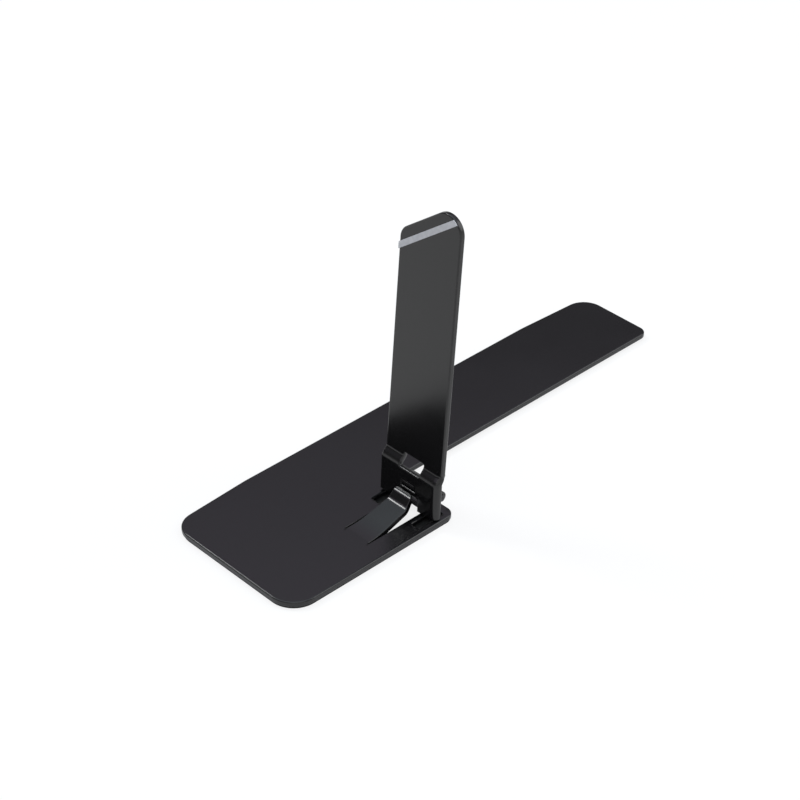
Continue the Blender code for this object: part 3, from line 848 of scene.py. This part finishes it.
def grey_silicone():
    surface = Surface("grey_silicone")
    mottle = surface.noise(700.0, 4.0)
    grain = surface.noise(6000.0, 2.0)
    shade = surface.ranged(mottle, (0.3, 0.7), (0.0, 1.0))
    colour = surface.colour(shade, (0.36, 0.365, 0.38), (0.44, 0.445, 0.46))
    roughness = surface.ranged(grain, (0.3, 0.7), (0.5, 0.62))
    normal = surface.bump(mottle, 0.00001, surface.bump(grain, 0.000004))
    return surface.feed(Base_Color=colour, Roughness=roughness, Normal=normal, Specular_IOR_Level=0.4)


def dark_steel():
    """Blackened steel with turning marks that run round the pin."""
    surface = Surface("blackened_steel")
    marks = surface.noise(1.0, 2.0, surface.stretched((300.0, 9000.0, 300.0)))
    stain = surface.noise(800.0, 3.0)
    colour = surface.colour(stain, (0.035, 0.035, 0.037), (0.09, 0.09, 0.095))
    roughness = surface.ranged(marks, (0.3, 0.7), (0.28, 0.42))
    normal = surface.bump(marks, 0.000004)
    return surface.feed(Base_Color=colour, Roughness=roughness, Normal=normal, Metallic=1.0)


def moulded_nylon():
    surface = Surface("moulded_nylon")
    grain = surface.noise(4200.0, 3.0)
    cloud = surface.noise(500.0, 2.0)
    colour = surface.colour(cloud, (0.010, 0.010, 0.011), (0.016, 0.016, 0.017))
    roughness = surface.ranged(grain, (0.3, 0.7), (0.42, 0.56))
    return surface.feed(Base_Color=colour, Roughness=roughness, Normal=surface.bump(grain, 0.000006))


def pad_rubber():
    """Matt non-slip sheet with a pebbled skin."""
    surface = Surface("pebbled_rubber")
    pebble = surface.cells(2600.0)
    dust = surface.noise(160.0, 4.0)
    dusty = surface.ranged(dust, (0.35, 0.75), (0.0, 1.0))
    colour = surface.colour(dusty, (0.006, 0.006, 0.006), (0.013, 0.013, 0.012))
    roughness = surface.ranged(pebble, (0.0, 0.6), (0.7, 0.85))
    return surface.feed(Base_Color=colour, Roughness=roughness, Normal=surface.bump(pebble, 0.00003),
                        Specular_IOR_Level=0.3)


def make_floor():
    """A white floor that keeps the stand's shadow.

    Part of its white is its own in what the camera and mirrors see. In mirrors a painted shadow dims it
    under and near the stand.
    """
    half = FLOOR_SIZE / 2
    shape = bmesh.new()
    corners = [(-half, -half), (half, -half), (half, half), (-half, half)]
    shape.faces.new([shape.verts.new((x, y, FLOOR_HEIGHT)) for x, y in corners])
    mesh = bpy.data.meshes.new("floor")
    shape.to_mesh(mesh)
    shape.free()
    material = bpy.data.materials.new("white_floor")
    material.use_nodes = True
    nodes = material.node_tree.nodes
    links = material.node_tree.links
    paper = nodes["Principled BSDF"]
    paper.inputs["Base Color"].default_value = (FLOOR_WHITE, FLOOR_WHITE, FLOOR_WHITE, 1.0)
    paper.inputs["Roughness"].default_value = FLOOR_ROUGHNESS
    paper.inputs["Specular IOR Level"].default_value = 0.0
    glow = nodes.new("ShaderNodeEmission")
    ray = nodes.new("ShaderNodeLightPath")
    # Painted shadow: occlusion by the stand, raised to a power, dims the glow that mirrors see under and
    # near it
    painted_shadow = nodes.new("ShaderNodeAmbientOcclusion")
    painted_shadow.inputs["Distance"].default_value = PAINTED_SHADOW_REACH
    deeper_painted_shadow = nodes.new("ShaderNodeMath")
    deeper_painted_shadow.operation = "POWER"
    deeper_painted_shadow.inputs[1].default_value = PAINTED_SHADOW_DEPTH
    links.new(painted_shadow.outputs["AO"], deeper_painted_shadow.inputs[0])
    mirrored_with_painted_shadow = nodes.new("ShaderNodeMath")
    mirrored_with_painted_shadow.operation = "MULTIPLY"
    links.new(ray.outputs["Is Glossy Ray"], mirrored_with_painted_shadow.inputs[0])
    links.new(deeper_painted_shadow.outputs["Value"], mirrored_with_painted_shadow.inputs[1])
    seen = ray.outputs["Is Camera Ray"]
    for other in (mirrored_with_painted_shadow.outputs["Value"], ray.outputs["Is Transmission Ray"]):
        either = nodes.new("ShaderNodeMath")
        either.operation = "MAXIMUM"
        links.new(seen, either.inputs[0])
        links.new(other, either.inputs[1])
        seen = either.outputs["Value"]
    share = nodes.new("ShaderNodeMath")
    share.operation = "MULTIPLY"
    share.inputs[1].default_value = FLOOR_GLOW
    links.new(seen, share.inputs[0])
    blend = nodes.new("ShaderNodeMixShader")
    links.new(share.outputs["Value"], blend.inputs["Fac"])
    links.new(paper.outputs["BSDF"], blend.inputs[1])
    links.new(glow.outputs["Emission"], blend.inputs[2])
    links.new(blend.outputs["Shader"], nodes["Material Output"].inputs["Surface"])
    mesh.materials.append(material)
    floor = bpy.data.objects.new("floor", mesh)
    bpy.context.scene.collection.objects.link(floor)


def make_world():
    """Studio surroundings: white near the horizon, dim above it, and a pale ceiling."""
    world = bpy.data.worlds.new("studio")
    world.use_nodes = True
    bpy.context.scene.world = world
    nodes = world.node_tree.nodes
    links = world.node_tree.links
    place = nodes.new("ShaderNodeTexCoord")
    split = nodes.new("ShaderNodeSeparateXYZ")
    ramp = nodes.new("ShaderNodeValToRGB")
    for height, _ in SKY[1:-1]:
        ramp.color_ramp.elements.new(height)
    for element, (height, colour) in zip(ramp.color_ramp.elements, SKY):
        element.position = height
        element.color = (*colour, 1.0)
    links.new(place.outputs["Generated"], split.inputs["Vector"])
    links.new(split.outputs["Z"], ramp.inputs["Fac"])
    links.new(ramp.outputs["Color"], nodes["Background"].inputs["Color"])


def add_softbox(name, direction, distance, size, radiance, colour=(1.0, 1.0, 1.0)):
    """A square lamp that looks at the stand; its radiance is what a mirror would show, where 1 is white."""
    lamp = bpy.data.lights.new(name, "AREA")
    lamp.shape = "SQUARE"
    lamp.size = size
    lamp.energy = radiance * size * size * math.pi
    lamp.color = colour
    holder = bpy.data.objects.new(name, lamp)
    aim = Vector(direction).normalized()
    holder.location = Vector(CAMERA_TARGET) + aim * distance
    holder.rotation_euler = aim.to_track_quat("Z", "Y").to_euler()
    bpy.context.scene.collection.objects.link(holder)


def make_lamps():
    add_softbox("softbox_top", (0.0, 0.10, 1.0), 1.1, 1.0, 0.8, (0.93, 0.98, 1.04))
    add_softbox("softbox_back_left", (-0.24, 0.59, 0.77), 1.3, 0.26, 21.0)
    add_softbox("softbox_front", (-0.45, -0.70, 0.55), 1.4, 1.2, 0.8)
    add_softbox("softbox_right", (0.60, -0.60, 0.55), 1.3, 0.9, 2.4)


def make_camera():
    camera = bpy.data.cameras.new("photo_camera")
    camera.lens = CAMERA_LENS
    camera.clip_start = CAMERA_CLIP
    holder = bpy.data.objects.new("photo_camera", camera)
    back = Vector((
        math.sin(CAMERA_AZIMUTH) * math.cos(CAMERA_ELEVATION),
        -math.cos(CAMERA_AZIMUTH) * math.cos(CAMERA_ELEVATION),
        math.sin(CAMERA_ELEVATION),
    ))
    holder.location = Vector(CAMERA_TARGET) + back * CAMERA_DISTANCE
    holder.rotation_euler = back.to_track_quat("Z", "Y").to_euler()
    bpy.context.scene.collection.objects.link(holder)
    bpy.context.scene.camera = holder


def main():
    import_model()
    paint = black_paint()
    make_base(paint)
    make_ears(paint)
    make_latch(paint)
    make_arm(paint)
    make_strip(grey_silicone())
    make_pin(dark_steel())
    make_bushes(moulded_nylon())
    make_pads(pad_rubber())
    make_floor()
    make_world()
    make_lamps()
    make_camera()
    bpy.context.scene.view_settings.view_transform = "Standard"


main()
